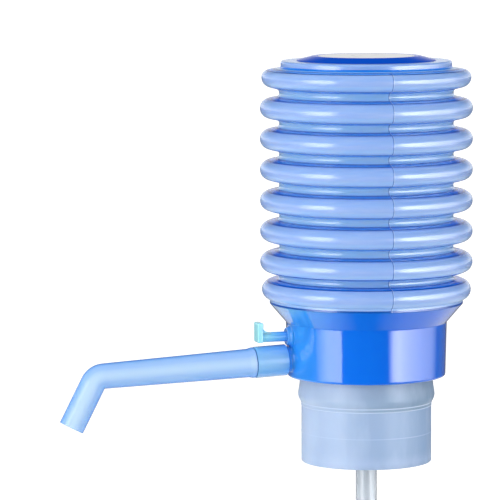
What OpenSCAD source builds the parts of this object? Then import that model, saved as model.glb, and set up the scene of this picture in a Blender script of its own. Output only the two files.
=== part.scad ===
// Hand pump for a large water bottle: a bellows on a base that clips onto the bottle's neck.
// Origin: centre of the bottle's rim, where the gasket seats. +Z is up, and the spout points along -X.
// All lengths are in millimetres.

/* [Bottle neck] */
// Outer diameter of the bottle neck that the pump sits on
neck_d = 55; // [53:0.5:57]
// Clearance between the neck and the clip ring around it
neck_gap = 0.3; // [0.2:0.1:0.6]
// Inner diameter of the gasket that seats on the neck's rim
gasket_bore_d = 43; // [40:0.5:46]
// Thickness of the gasket
gasket_t = 2.2; // [1.5:0.1:3]

/* [Neck collar] */
// Clearance between the neck and the collar's sleeve
sleeve_gap = 0.5; // [0.3:0.1:1]
// Wall of the collar's sleeve
sleeve_wall = 1.5; // [1.2:0.1:2.2]
// Reach of the sleeve below the bottle's rim
sleeve_drop = 40.5; // [30:0.5:60]
// Wall of the collar around the clip ring
collar_wall = 1.2; // [1:0.1:1.8]
// Depth of the middle of the collar's bulge below the rim
bulge_drop = 10.1; // [9:0.1:13]
// How far the bulge stands out from the collar's upper part
bulge_h = 0.7; // [0.4:0.1:1]
// Number of grip ridges inside the sleeve
grip_ridges = 3; // [1:1:4]

/* [Clip ring] */
// Wall of the clip ring
clip_wall = 1; // [0.8:0.1:1.4]
// How far the clip ring's bead stands out
bead_h = 0.5; // [0.4:0.1:0.8]
// Clearance between the clip ring and the collar that turns on it
turn_gap = 0.3; // [0.25:0.05:0.5]
// Number of slots that let the clip ring flex
clip_slots = 4; // [3:1:8]
// Width of each slot
clip_slot_w = 2; // [1:0.5:4]

/* [Base] */
// Diameter of the skirt at its upper corner
skirt_d = 73; // [72:0.5:80]
// Height of the skirt, from its lower edge to its corner
skirt_h = 24.7; // [24:0.1:30]
// Reach of the skirt below the bottle's rim
skirt_lap = 1.4; // [0:0.1:3]
// Draft of the skirt: how much smaller its radius is at the bottom
skirt_draft = 0.6; // [0:0.1:1.5]
// Wall of the skirt
skirt_wall = 1.8; // [1.4:0.1:2.4]
// Rounding of the skirt's lower edge
skirt_round = 1.2; // [0.6:0.1:1.4]
// Diameter of the funnel's rim, which carries the bellows
funnel_d = 88; // [86:0.5:94]
// Height of the funnel
funnel_h = 8.7; // [7:0.1:14]
// Wall of the funnel, measured level
funnel_wall = 2.4; // [2:0.1:3]
// Thickness of the base's floor
floor_t = 2; // [1.6:0.1:3]
// Wall of the bell that closes the base over the bottle's mouth
bell_wall = 1.6; // [1.4:0.1:2.4]

/* [Water way] */
// Height of the duct's middle line above the rim, at the pump's middle
duct_z = 8.9; // [8.8:0.1:9.4]
// How far the duct and the spout slope down, in degrees
duct_tilt = 2.7; // [0:0.1:4]
// Bore of the duct
duct_bore_d = 7.8; // [6:0.1:8]
// Wall of the duct
duct_wall = 1.3; // [1:0.1:1.4]
// Outer diameter of the socket that holds the spout
socket_d = 14.2; // [13.6:0.1:15]
// Length of the socket
socket_len = 14.6; // [12:0.1:18]
// Gap between the skirt and the socket's sleeve
socket_stand = 1.9; // [1.5:0.1:4]
// Radius of the hollow round the socket's root
socket_hollow = 1.5; // [1:0.1:1.6]
// Wall of the nipple that holds the suction tube
nipple_wall = 2.1; // [1.8:0.1:3]
// Reach of the nipple below the rim
nipple_drop = 14; // [10:0.5:20]

/* [Spout] */
// Outer diameter of the spigot in the socket
spigot_d = 10.4; // [9.8:0.1:11]
// Running clearance between the spigot and the socket
spigot_gap = 0.05; // [0.02:0.01:0.1]
// Bore of the spigot
spigot_bore_d = 6.8; // [6:0.1:7]
// Outer diameter of the spout's flange at the socket
flange_d = 13.8; // [13:0.1:14.2]
// Outer diameter of the spout where it leaves the flange
spout_root_d = 12.9; // [12:0.1:13]
// Outer diameter of the spout at its bend
spout_bend_d = 11.6; // [11.2:0.1:12.2]
// Outer diameter of the spout's parallel stretch at its mouth, over which a hose is pushed
spout_tip_d = 11.4; // [10.8:0.1:12]
// Length of the parallel stretch at the mouth
mouth_straight = 14; // [8:0.5:16]
// Wall of the spout
spout_wall = 1.4; // [1.2:0.1:2]
// Length of the spout from the socket to its bend
spout_run = 73.3; // [50:0.1:120]
// Angle of the spout's bend, in degrees
spout_bend = 60; // [30:1:80]
// Length of the spout from its bend to its mouth
spout_drop = 25.3; // [18:0.1:40]
// Thickness of the spout's seal ring
oring_t = 1; // [0.8:0.1:1.1]

/* [Release button] */
// Height of the button's middle line above the rim
release_z = 17.7; // [17:0.1:18]
// Diameter of the button's rod
rod_d = 4.5; // [4:0.1:5]
// Running clearance between the rod and its guide
rod_gap = 0.05; // [0.02:0.01:0.1]
// Wall of the guide round the rod
guide_wall = 1.6; // [1.2:0.1:1.8]
// How far the guide stands out of the skirt
guide_stand = 1.6; // [1:0.1:3]
// Distance from the pump's middle line to the button's outer face
button_reach = 52.2; // [48:0.1:60]
// Thickness of the thumb tab
tab_t = 2.7; // [2:0.1:4]
// Width of the thumb tab
tab_w = 7; // [5:0.5:10]
// Height of the thumb tab's top above the rim
tab_top = 24.5; // [22:0.1:30]
// Travel of the button
release_travel = 3; // [2:0.5:3.5]
// Thickness of the button's rubber seal
release_seal_t = 1.6; // [1:0.1:2]
// Wire of the button's spring
spring_wire = 0.4; // [0.3:0.05:0.5]
// Number of turns of the button's spring
spring_turns = 5; // [3:1:6]

/* [Bellows] */
// Number of folds
folds = 8; // [4:1:12]
// Diameter over the folds
fold_d = 96.4; // [92:0.2:104]
// Diameter over the lowest and the highest fold
end_fold_d = 94.6; // [92:0.2:100]
// Diameter at the bottom of the grooves between the folds
groove_d = 78.6; // [76:0.2:80]
// Radius of a fold's outer curve
fold_round = 4.4; // [3.8:0.1:4.6]
// Radius of a groove's outer curve
groove_round = 1.9; // [1.2:0.1:1.9]
// Rise from the funnel's rim to the middle of the lowest fold
first_fold = 6; // [5.5:0.1:8]
// Rise from the lowest fold to the next one
first_pitch = 12.6; // [12.6:0.1:16]
// Rise from each of the other folds to the next
fold_pitch = 13.9; // [13:0.1:17]
// Wall of the bellows
bellows_wall = 1.2; // [0.8:0.1:1.5]
// Diameter of the neck ring at the bellows' top
crown_d = 77.2; // [74:0.2:80]
// Rise from the highest fold to the bellows' top face
crown_h = 7.5; // [7:0.1:12]

/* [Press cap] */
// Diameter of the cap at the bellows' top face
cap_d = 62.8; // [60:0.2:68]
// Diameter of the cap's flat top
cap_top_d = 49.2; // [47:0.2:54]
// Height of the cap above the bellows' top face
cap_h = 2.1; // [1.9:0.1:5]
// Thickness of the cap's plate
cap_t = 1.8; // [1.6:0.1:2.4]
// Depth of the cap's plug inside the bellows
plug_h = 6; // [5:0.1:9]
// Diameter of the plain disc in the cap's top
disc_d = 43.6; // [36:0.2:45]
// Thickness of the plain disc
disc_t = 0.8; // [0.6:0.1:1]

/* [Valves] */
// Diameter of each valve's rubber flap
flap_d = 14; // [13:0.5:16]
// Diameter of each valve's stem
valve_stem_d = 3.2; // [2.6:0.1:3.6]
// Number of air holes at each valve
air_holes = 6; // [4:1:8]
// Diameter of the air holes
air_hole_d = 2.2; // [1.6:0.1:2.4]

/* [Suction tube] */
// Outer diameter of the tube
tube_d = 9.6; // [9:0.1:10]
// Wall of the tube
tube_wall = 1.1; // [0.8:0.1:1.5]
// Length of each of the three tube sections
tube_len = 108; // [60:1:160]
// Clearance round the tube in its couplers and the nipple
tube_gap = 0.05; // [0.02:0.01:0.1]
// Length of a coupler
coupler_len = 22; // [14:1:40]
// Wall of a coupler and of the foot
coupler_wall = 1.35; // [1:0.05:2]
// Thickness of the stop rib inside a coupler
stop_t = 1.2; // [0.8:0.1:2]
// Number of notches in the foot's lower edge
foot_notches = 4; // [2:2:6]

/* [Hidden] */
$fn = 96;
// Overlap that joins two shapes of one piece
join = 0.4;
// Extra length of a cut beyond the shape that it cuts
over = 1;
// Clearance between parts that lie in each other and don't turn
lay_gap = 0.15;
// Steps in a quarter of a drawn arc
arc_steps = 7;

// Colours
body_blue = [0.10, 0.42, 0.92];
bellows_blue = [0.45, 0.64, 0.96];
cap_blue = [0.08, 0.27, 0.66];
spout_blue = [0.62, 0.77, 0.98];
button_cyan = [0.45, 0.85, 0.98];
frosted = [0.76, 0.83, 0.92];
tube_white = [0.88, 0.92, 0.96];
label_white = [0.95, 0.96, 0.98];
rubber_white = [0.85, 0.86, 0.88];
steel = [0.70, 0.71, 0.73];

// Clip ring and collar, from the neck outwards
neck_r = neck_d / 2;
clip_ir = neck_r + neck_gap;
clip_or = clip_ir + clip_wall;
bead_or = clip_or + bead_h;
lip_ir = clip_or + turn_gap;
lip_or = lip_ir + collar_wall;
groove_ir = bead_or + turn_gap;
bulge_or = lip_or + bulge_h;
sleeve_ir = neck_r + sleeve_gap;
sleeve_or = sleeve_ir + sleeve_wall;

// Heights of the clip ring and the collar
bead_flat = 1;
bead_lead = 1.2;
bead_play = 0.2;
bead_room = 0.4;
clip_slot_top = -1;
bead_top = -bulge_drop + bead_flat;
clip_bottom = bead_top - bead_flat - bead_lead;
groove_top = bead_top + bead_play;
groove_bottom = clip_bottom - bead_room;
groove_slope = sleeve_ir < groove_ir ? groove_ir - sleeve_ir : 0;
bulge_half = 3.4;
bulge_round = bulge_half * 1.2;
bulge_from = 34;
bulge_to = -38;
bulge_step = 0.2;
collar_line_h = 0.25;
collar_line_gap = 1.2;
collar_line_z = -bulge_drop - bulge_half - collar_line_gap;
collar_edge = 0.4;
sleeve_lead = 1.2;
sleeve_lead_in = 0.6;
ridge_gap = 0.1;
ridge_r = neck_r + ridge_gap;
ridge_rise = 5;
ridge_half = 0.8;
ridge_pitch = 6;

// Base
skirt_r = skirt_d / 2;
skirt_foot_r = skirt_r - skirt_draft;
skirt_z = -skirt_lap;
floor_z = skirt_z + skirt_h;
floor_under = floor_z - floor_t;
rim_z = floor_z + funnel_h;
funnel_r = funnel_d / 2;
gasket_in = 0.1;
flange_t = 2;
flange_z = gasket_t + flange_t;
flange_step = 0.5;
flange_ir = gasket_bore_d / 2 + flange_step;
bell_ir = clip_or - join;
bell_or = bell_ir + bell_wall;
bell_z = gasket_t - join;

// Screws that hold the bellows' ring
screw_count = 4;
screw_turn = 45;
screw_d = 2.1;
screw_hole_d = 2.2;
screw_post_r = 2.3;
screw_set = 1.4;
screw_r = bell_or + screw_set;
screw_post_h = 6;
screw_len = 9;
screw_head_r = 1.9;
screw_head_h = 1.4;
screw_taper = 0.6;
screw_taper_h = 1.2;
head_round = 0.6;
head_round_h = 0.5;
cross_l = 2.2;
cross_w = 0.5;
cross_t = 0.7;

// Water way
duct_or = duct_bore_d / 2 + duct_wall;
socket_r = socket_d / 2;
hollow_out = 0.2;
socket_start = skirt_r + socket_stand;
lip_s = socket_start + socket_len;
socket_bore_r = spigot_d / 2 + spigot_gap;
socket_step = 0.6;
socket_floor_s = socket_start + socket_step;
tube_r = tube_d / 2;
tube_bore_r = tube_r - tube_wall;
nipple_bore_r = tube_r + tube_gap;
nipple_or = nipple_bore_r + nipple_wall;
nipple_rise = 0.8;
nipple_top = duct_z + duct_or + nipple_rise;
tube_top = 0.8;
seal_h = 2.4;
seal_play = 0.1;
seal_wall = 1.1;
web_t = 1.6;
web_h = 8;

// Spout
spigot_r = spigot_d / 2;
spigot_bore_r = spigot_bore_d / 2;
spout_end_gap = 0.3;
spigot_start = socket_floor_s + spout_end_gap;
flange_s = lip_s + spout_end_gap;
flange_r = flange_d / 2;
flange_len = 3.2;
spout_root_r = spout_root_d / 2;
spout_bend_r = spout_bend_d / 2;
spout_tip_r = spout_tip_d / 2;
spout_bore_r = spout_tip_r - spout_wall;
bend_s = lip_s + spout_run;
oring_set = 3;
oring_proud = 0.02;
oring_play = 0.1;
oring_s = spigot_start + oring_set;
oring_r = spigot_r + oring_proud - oring_t / 2;

// Release button, along X at release_z
rod_r = rod_d / 2;
guide_bore_r = rod_r + rod_gap;
guide_or = guide_bore_r + guide_wall;
guide_out = skirt_r + guide_stand;
guide_inset = 1.9;
guide_in = bell_ir - guide_inset;
seat_t = 2;
chamber_end = guide_in + seat_t;
spring_room = 6;
coil_play = 0.05;
rod_in = chamber_end + spring_room;
release_stem_r = 1.1;
seat_hole_r = 1.6;
seal_r = 3.6;
clip_t = 0.8;
clip_r = 2.4;
stem_tip = 0.8;
stem_end = guide_in - release_seal_t - clip_t - stem_tip;
tab_foot = 1.8;
tab_blend = 3.2;
blend_start = 1;
blend_half_w = rod_r * 0.7;
spring_r = (release_stem_r + guide_bore_r) / 2;
vent_r = 0.8;

// Bellows
fold_r = fold_d / 2;
end_fold_r = end_fold_d / 2;
crown_r = crown_d / 2;
crown_fillet = 0.9;
crown_round = 1;
crown_flank = 88;
first_start = -78;
shoulder_in = 0.1;
cuff_wall = 1.6;
cuff_lip_t = 1.4;
cuff_hole_d = 2.6;
clamp_h = 3;
clamp_half = 2.4;
top_fold_z = fold_z(folds - 1);
crown_z = top_fold_z + crown_h;

// Press cap
cap_r = cap_d / 2;
cap_top_r = cap_top_d / 2;
cap_edge = 0.3;
cap_overlap = 0.9;
plug_r = cap_r - cap_overlap;
plug_wall = 1.6;
plug_gap = 0.3;
crown_hole_r = plug_r + plug_gap;
snap_h = 0.7;
snap_lead = 0.2;
snap_flat = 0.7;
disc_gap = 0.2;
well_d = 19;
well_wall = 1.5;
well_depth = 5;
well_floor_t = 1.4;
cap_z = crown_z + cap_h;
plate_z = cap_z - disc_t - cap_t;
well_floor_z = plate_z - well_depth + cap_t;
disc_hole_r = 6.6;

// Valves
flap_r = flap_d / 2;
flap_edge_t = 0.5;
flap_mid_t = 1.3;
valve_stem_r = valve_stem_d / 2;
valve_bulb = 0.6;
valve_tip = 0.4;
bulb_low = 0.8;
bulb_high = 2.2;
bulb_end = 2.6;
valve_hole_r = valve_stem_r + lay_gap;
air_hole_r = air_hole_d / 2;
air_ring_gap = 1.2;
air_ring_r = valve_hole_r + air_hole_r + air_ring_gap;

// Suction tube
coupler_bore_r = tube_r + tube_gap;
coupler_or = coupler_bore_r + coupler_wall;
tube_sections = 3;
tube_step = tube_len + stop_t;
foot_reach = 6.2;
foot_hold = 10;
notch_w = 3;
notch_h = 3.5;

// Points of an arc about c with radius r, from angle a to angle b
function arc(c, r, a, b) =
    let (n = max(2, ceil(abs(b - a) / 90 * arc_steps)))
    [for (i = [0:n]) let (t = a + (b - a) * i / n) c + r * [cos(t), sin(t)]];

// Points in the opposite order
function reversed(p) = [for (i = [len(p) - 1:-1:0]) p[i]];

// Height, radius and middle of the curve of fold i, counted from the bottom
function fold_z(i) = rim_z + first_fold + (i == 0 ? 0 : first_pitch + (i - 1) * fold_pitch);
function fold_reach(i) = i == 0 || i == folds - 1 ? end_fold_r : fold_r;
function fold_mid(i) = [fold_reach(i) - fold_round, fold_z(i)];

// Middle of the curve of the groove above fold i
function groove_mid(i) = [groove_d / 2 + groove_round, (fold_z(i) + fold_z(i + 1)) / 2];

// Angle of the flank between fold i and a groove, as the direction that its outside faces
function flank(i, g) =
    let (c = fold_mid(i), m = groove_mid(g), dx = m[0] - c[0], dz = abs(m[1] - c[1]))
    atan2(dz, dx) - acos((fold_round + groove_round) / norm([dx, dz]));

// Height of the middle of the fillet between the highest fold and the neck ring
function fillet_z(grow) =
    let (c = fold_mid(folds - 1))
    c[1] + (fold_round + crown_fillet - (crown_r + crown_fillet - c[0]) * cos(crown_flank))
        / sin(crown_flank);

// One side of the bellows' folds, from bottom to top; inset 0 is the outside, the wall is the inside
function fold_side(inset) = [
    for (i = [0:folds - 1])
        each concat(
            arc(fold_mid(i), fold_round - inset,
                i == 0 ? first_start : -flank(i, i - 1),
                i == folds - 1 ? crown_flank : flank(i, i)),
            i == folds - 1 ? [] :
            arc(groove_mid(i), groove_round + inset, 180 + flank(i, i), 180 - flank(i + 1, i)))];

// Radius of the bellows' cuff against the funnel's inner wall at height z
function cuff_r(z) =
    skirt_r - funnel_wall - lay_gap + (funnel_r - skirt_r) * (z - floor_z) / funnel_h;

// Points of one turn of wire and the triangles of a closed tube along them
function tube_points(mids, outs, along, r, sides) = [
    for (i = [0:len(mids) - 1], k = [0:sides - 1])
        mids[i] + r * (cos(360 * k / sides) * outs[i] + sin(360 * k / sides) * along)];
function tube_faces(rings, sides) = concat(
    [for (i = [0:rings - 2], k = [0:sides - 1])
        let (a = i * sides + k, b = i * sides + (k + 1) % sides)
        each [[a, a + sides, b], [b, a + sides, b + sides]]],
    [for (k = [1:sides - 2]) [0, k, k + 1]],
    [for (k = [1:sides - 2]) let (e = (rings - 1) * sides) [e, e + k + 1, e + k]]);

// Puts a shape drawn along +Z onto the duct's middle line, s from the pump's middle
module on_duct(s) {
    translate([0, 0, duct_z]) rotate([0, -90 - duct_tilt, 0]) translate([0, 0, s]) children();
}

// Puts a shape drawn along +Z onto the button's middle line, x out from the pump's middle
module on_release(x) {
    translate([-x, 0, release_z]) rotate([0, -90, 0]) children();
}

// A turned ring with a square section
module turned(ir, or, low, high) {
    rotate_extrude() translate([ir, low]) square([or - ir, high - low]);
}

// The air holes and the stem hole of a valve seat, cut down from height z
module valve_holes(z, depth) {
    translate([0, 0, z - depth]) cylinder(r = valve_hole_r, h = depth + over);
    for (i = [0:air_holes - 1])
        rotate([0, 0, 360 * i / air_holes]) translate([air_ring_r, 0, z - depth])
            cylinder(r = air_hole_r, h = depth + over);
}

// A one-piece rubber valve whose flap lies under a plate of thickness t, with its underside at z
module umbrella(z, t) {
    translate([0, 0, z]) rotate_extrude() polygon([
        [0, -flap_mid_t], [valve_stem_r, -flap_mid_t], [flap_r, -flap_edge_t], [flap_r, 0],
        [valve_stem_r, 0], [valve_stem_r, t], [valve_stem_r + valve_bulb, t],
        [valve_stem_r + valve_bulb, t + bulb_low], [valve_stem_r - valve_tip, t + bulb_high],
        [0, t + bulb_end]]);
}

// Places its children at each of the ring's screws
module at_screws() {
    for (i = [0:screw_count - 1])
        rotate([0, 0, screw_turn + 360 * i / screw_count]) translate([screw_r, 0, 0]) children();
}

// Frosted sleeve that slides over the bottle's neck; the base's clip ring turns in its bulge
module neck_collar() {
    color(frosted) union() {
        rotate_extrude() polygon(concat(
            [[lip_ir, bell_z], [lip_or, bell_z], [lip_or, -bulge_drop + bulge_half]],
            arc([bulge_or - bulge_round, -bulge_drop], bulge_round, bulge_from, bulge_to),
            [[sleeve_or + bulge_step, -bulge_drop - bulge_half],
                [sleeve_or, collar_line_z + collar_line_h],
                [sleeve_or + collar_line_h, collar_line_z],
                [sleeve_or, collar_line_z - collar_line_h],
                [sleeve_or, -sleeve_drop + collar_edge], [sleeve_or - collar_edge, -sleeve_drop],
                [sleeve_ir + sleeve_lead_in, -sleeve_drop], [sleeve_ir, -sleeve_drop + sleeve_lead],
                [sleeve_ir, groove_bottom - groove_slope], [groove_ir, groove_bottom],
                [groove_ir, groove_top], [lip_ir, groove_top]]));
        for (i = [0:grip_ridges - 1])
            rotate_extrude() translate([0, -sleeve_drop + ridge_rise + i * ridge_pitch]) polygon([
                [sleeve_ir + join, ridge_half + join], [sleeve_ir, ridge_half], [ridge_r, 0],
                [sleeve_ir, -ridge_half], [sleeve_ir + join, -ridge_half - join]]);
    }
}

// Skirt, floor and funnel in one turned wall
module base_shell() {
    rotate_extrude() polygon(concat(
        arc([skirt_foot_r - skirt_round, skirt_z + skirt_round], skirt_round, -90, 0),
        [[skirt_r, floor_z], [funnel_r, rim_z], [funnel_r - funnel_wall, rim_z],
            [skirt_r - funnel_wall, floor_z], [0, floor_z], [0, floor_under],
            [skirt_r - skirt_wall, floor_under], [skirt_foot_r - skirt_wall, skirt_z]]));
}

// Bell over the bottle's mouth, with the gasket's seat and the clip ring below it
module bell() {
    turned(bell_ir, bell_or, bell_z, floor_under + join);
    turned(flange_ir, bell_ir + join, gasket_t, flange_z);
    difference() {
        union() {
            turned(clip_ir, clip_or, clip_bottom, flange_z);
            rotate_extrude() polygon([[clip_ir + join, bead_top], [bead_or, bead_top],
                [bead_or, bead_top - bead_flat], [clip_or, clip_bottom],
                [clip_ir + join, clip_bottom]]);
        }
        for (i = [0:clip_slots - 1])
            rotate([0, 0, 360 * (i + 0.5) / clip_slots])
                translate([clip_ir - over, -clip_slot_w / 2, clip_bottom - over])
                    cube([clip_wall + bead_h + 2 * over, clip_slot_w,
                        clip_slot_top - clip_bottom + over]);
    }
}

// Nipple for the suction tube, the duct from it to the spout's socket, and the webs that steady it
module water_way() {
    translate([0, 0, -nipple_drop]) cylinder(r = nipple_or, h = nipple_drop + nipple_top);
    for (a = [-60, 60])
        rotate([0, 0, a]) translate([tube_r, -web_t / 2, flange_z - join])
            cube([bell_ir + join - tube_r, web_t, web_h]);
    on_duct(0) cylinder(r = duct_or, h = socket_start + join);
    on_duct(0) difference() {
        translate([0, 0, skirt_r - skirt_wall]) cylinder(r = socket_r, h = lip_s - skirt_r + skirt_wall);
        translate([0, 0, socket_start - socket_hollow])
            rotate_extrude() translate([socket_r + hollow_out, 0]) circle(r = socket_hollow);
    }
}

// Blue base: everything between the bottle's neck, the bellows and the spout
module pump_body() {
    color(body_blue) difference() {
        union() {
            base_shell();
            bell();
            water_way();
            on_release(guide_in) cylinder(r = guide_or, h = guide_out - guide_in);
            at_screws() translate([0, 0, floor_under - screw_post_h])
                cylinder(r = screw_post_r, h = screw_post_h + join);
        }
        on_duct(0) cylinder(r = duct_bore_d / 2, h = socket_start + over);
        on_duct(socket_floor_s) cylinder(r = socket_bore_r, h = socket_len + over);
        translate([0, 0, -nipple_drop - over])
            cylinder(r = nipple_bore_r, h = nipple_drop + tube_top + over);
        cylinder(r = tube_bore_r, h = duct_z);
        translate([0, 0, -nipple_drop - over]) cylinder(r = nipple_bore_r + seal_wall, h = seal_h + over);
        on_release(chamber_end) cylinder(r = guide_bore_r, h = guide_out);
        on_release(guide_in - over) cylinder(r = seat_hole_r, h = chamber_end);
        translate([-(bell_or + skirt_foot_r - skirt_wall) / 2, 0, release_z - guide_or - over])
            cylinder(r = vent_r, h = guide_or + over);
        valve_holes(floor_z, floor_t + over);
        at_screws() translate([0, 0, floor_z - screw_len - join])
            cylinder(d = screw_hole_d, h = screw_len + over);
    }
}

// Rubber ring that seals the base on the bottle's rim
module neck_gasket() {
    color(rubber_white) turned(gasket_bore_d / 2, clip_ir - gasket_in, 0, gasket_t);
}

// Valve that lets the pumped air down into the bottle
module outlet_valve() {
    color(rubber_white) umbrella(floor_under, floor_t);
}

// Soft bellows: a cuff in the funnel, the folds, and a neck ring that the cap is pressed into
module bellows() {
    top = crown_z;
    fz = fillet_z(0);
    color(bellows_blue) difference() {
        rotate_extrude() polygon(concat(
            [[screw_r - clamp_half, floor_z], [cuff_r(floor_z), floor_z], [cuff_r(rim_z), rim_z],
                [funnel_r - shoulder_in, rim_z]],
            fold_side(0),
            arc([crown_r + crown_fillet, fz], crown_fillet, 180 + crown_flank, 180),
            arc([crown_r - crown_round, top - crown_round], crown_round, 0, 90),
            [[crown_hole_r, top], [crown_hole_r, top - bellows_wall]],
            [[crown_r - bellows_wall, top - bellows_wall], [crown_r - bellows_wall, fz]],
            reversed(arc([crown_r + crown_fillet, fz], crown_fillet + bellows_wall,
                180 + crown_flank, 180)),
            reversed(fold_side(bellows_wall)),
            [[cuff_r(rim_z) - cuff_wall, rim_z + bellows_wall],
                [cuff_r(floor_z + cuff_lip_t) - cuff_wall, floor_z + cuff_lip_t],
                [screw_r - clamp_half, floor_z + cuff_lip_t]]));
        at_screws() translate([0, 0, floor_z - over]) cylinder(d = cuff_hole_d, h = cuff_lip_t + 2 * over);
    }
}

// Ring that clamps the bellows' cuff onto the floor
module bellows_ring() {
    low = floor_z + cuff_lip_t;
    color(frosted) difference() {
        turned(screw_r - clamp_half, cuff_r(low) - cuff_wall - lay_gap, low, low + clamp_h);
        at_screws() translate([0, 0, low - over]) cylinder(d = cuff_hole_d, h = clamp_h + 2 * over);
    }
}

// Four pan-head screws through the ring into the posts under the floor
module ring_screws() {
    seat = floor_z + cuff_lip_t + clamp_h;
    tip = floor_z - screw_len + join - seat;
    color(steel) at_screws() translate([0, 0, seat]) difference() {
        rotate_extrude() polygon([[0, tip], [screw_d / 2 - screw_taper, tip],
            [screw_d / 2, tip + screw_taper_h], [screw_d / 2, 0],
            [screw_head_r, 0], [screw_head_r, screw_head_h - head_round_h],
            [screw_head_r - head_round, screw_head_h], [0, screw_head_h]]);
        for (a = [0, 90])
            rotate([0, 0, a]) translate([-cross_l / 2, -cross_w / 2, screw_head_h - cross_t])
                cube([cross_l, cross_w, over]);
    }
}

// Rubber ring between the suction tube and the nipple's mouth
module tube_seal() {
    color(rubber_white)
        turned(tube_r + tube_gap, nipple_bore_r + seal_wall - tube_gap, -nipple_drop,
            -nipple_drop + seal_h - seal_play);
}

// A straight section of the suction tube, i sections below the first
module tube_section(i) {
    top = tube_top - i * tube_step;
    color(tube_white) turned(tube_bore_r, tube_r, top - tube_len, top);
}

module suction_tube_upper() { tube_section(0); }
module suction_tube_middle() { tube_section(1); }
module suction_tube_lower() { tube_section(2); }

// Sleeve that joins section i to the next, which both end at its stop rib
module tube_coupler(i) {
    mid = tube_top - tube_len - stop_t / 2 - i * tube_step;
    color(frosted) union() {
        turned(coupler_bore_r, coupler_or, mid - coupler_len / 2, mid + coupler_len / 2);
        turned(tube_bore_r, coupler_bore_r + join, mid - stop_t / 2, mid + stop_t / 2);
    }
}

module tube_coupler_upper() { tube_coupler(0); }
module tube_coupler_lower() { tube_coupler(1); }

// Notched foot that keeps the tube's mouth off the bottle's bottom
module tube_foot() {
    stop = tube_top - tube_sections * tube_len - (tube_sections - 1) * stop_t;
    color(frosted) difference() {
        union() {
            turned(coupler_bore_r, coupler_or, stop - foot_reach, stop + foot_hold);
            turned(tube_bore_r, coupler_bore_r + join, stop - stop_t, stop);
        }
        for (i = [0:foot_notches / 2 - 1])
            rotate([0, 0, 180 * i / (foot_notches / 2)])
                translate([-coupler_or - over, -notch_w / 2, stop - foot_reach - over])
                    cube([2 * (coupler_or + over), notch_w, notch_h + over]);
    }
}

// Cap that the hand presses, with a plug in the bellows and a well for the intake valve
module press_cap() {
    well_r = well_d / 2;
    recess_r = disc_d / 2 + disc_gap;
    snap_z = crown_z - bellows_wall - plug_gap;
    color(cap_blue) difference() {
        union() {
            rotate_extrude() polygon([
                [well_r, cap_z - disc_t], [recess_r, cap_z - disc_t], [recess_r, cap_z],
                [cap_top_r, cap_z], [cap_r, crown_z + cap_edge], [cap_r, crown_z],
                [plug_r, crown_z], [plug_r, snap_z], [plug_r + snap_h, snap_z - snap_lead],
                [plug_r + snap_h, snap_z - snap_lead - snap_flat], [plug_r, crown_z - plug_h],
                [plug_r - plug_wall, crown_z - plug_h], [plug_r - plug_wall, plate_z],
                [well_r, plate_z]]);
            turned(well_r, well_r + well_wall, well_floor_z, plate_z + join);
            turned(0, well_r + well_wall, well_floor_z, well_floor_z + well_floor_t);
        }
        valve_holes(well_floor_z + well_floor_t, well_floor_t + over);
    }
}

// Plain disc set in the cap's top, with the air holes over the well
module cap_disc() {
    color(label_white) difference() {
        translate([0, 0, cap_z - disc_t]) cylinder(d = disc_d, h = disc_t);
        for (i = [0:air_holes - 1])
            rotate([0, 0, 360 * (i + 0.5) / air_holes]) translate([disc_hole_r, 0, cap_z - disc_t - over])
                cylinder(r = air_hole_r, h = disc_t + 2 * over);
    }
}

// Valve that lets air into the bellows as it rises
module intake_valve() {
    color(rubber_white) umbrella(well_floor_z, well_floor_t);
}

// Push button: thumb tab, rod through the guide, and stem through the seat
module release_button() {
    foot_z = release_z - tab_foot;
    color(button_cyan) union() {
        on_release(rod_in) cylinder(r = rod_r, h = button_reach - tab_t / 2 - rod_in);
        on_release(stem_end) cylinder(r = release_stem_r, h = rod_in - stem_end + join);
        translate([-button_reach, -tab_w / 2, foot_z]) cube([tab_t, tab_w, tab_top - foot_z]);
        translate([0, blend_half_w, 0]) rotate([90, 0, 0]) linear_extrude(2 * blend_half_w) difference() {
            translate([-button_reach + tab_t - join, release_z + blend_start])
                square([tab_blend + join, tab_blend + rod_r - blend_start]);
            translate([-button_reach + tab_t + tab_blend, release_z + rod_r + tab_blend])
                circle(r = tab_blend);
        }
    }
}

// Rubber washer that closes the seat hole from inside the bell
module release_seal() {
    color(rubber_white) on_release(guide_in - release_seal_t) difference() {
        cylinder(r = seal_r, h = release_seal_t);
        translate([0, 0, -over]) cylinder(r = release_stem_r + tube_gap, h = release_seal_t + 2 * over);
    }
}

// Clip that holds the washer on the button's stem
module release_clip() {
    color(steel) on_release(guide_in - release_seal_t - clip_t) difference() {
        cylinder(r = clip_r, h = clip_t);
        translate([0, 0, -over]) cylinder(r = release_stem_r + tube_gap, h = clip_t + 2 * over);
    }
}

// Spring in the guide that pushes the button back out
module release_spring() {
    per_turn = 12;
    sides = 6;
    rings = per_turn * spring_turns + 1;
    low = chamber_end + spring_wire / 2 + coil_play;
    rise = spring_room - spring_wire - 2 * coil_play;
    outs = [for (i = [0:rings - 1]) let (a = 360 * i / per_turn) [0, cos(a), sin(a)]];
    mids = [for (i = [0:rings - 1]) [-low - rise * i / (rings - 1), 0, release_z] + spring_r * outs[i]];
    color(steel) polyhedron(tube_points(mids, outs, [1, 0, 0], spring_wire / 2, sides),
        tube_faces(rings, sides));
}

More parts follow.
